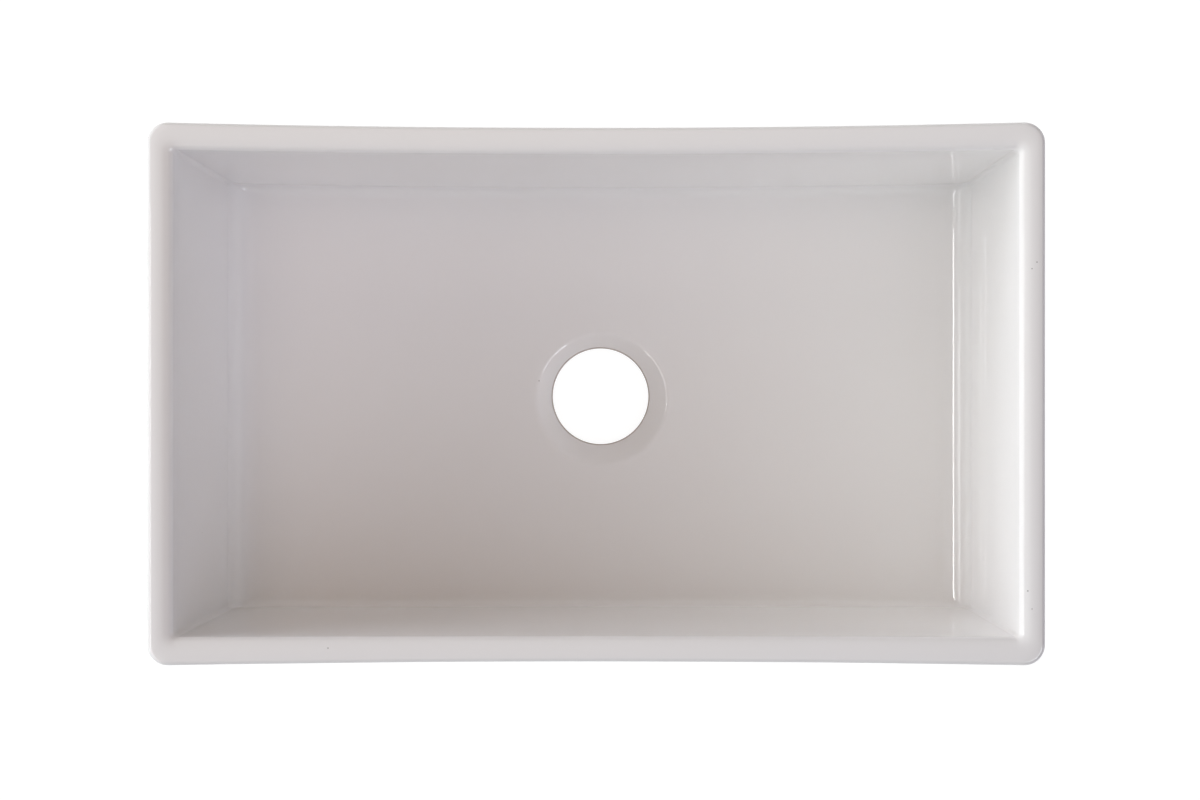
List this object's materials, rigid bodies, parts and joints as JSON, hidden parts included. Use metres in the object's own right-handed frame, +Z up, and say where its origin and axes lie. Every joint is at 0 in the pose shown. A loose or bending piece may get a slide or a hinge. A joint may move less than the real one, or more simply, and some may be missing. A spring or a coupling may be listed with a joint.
{
  "type": "apron front sink",
  "caption": "Rectangular apron front kitchen sink with a deep bowl, a soft rounded rim and a round waste hole at the middle of its floor.",
  "frame": {"origin": "on the base, below the middle of the sink", "axes": "+X along the apron, to the right of someone who stands in front of it; +Y from the apron to the back; +Z up"},
  "size_m": [0.762, 0.4609, 0.254],
  "materials": {
    "fireclay": "matte",
    "glaze": "gloss"
  },
  "bodies": {
    "root": {"fireclay_body": "fireclay", "glaze": "glaze"}
  },
  "joints": []
}
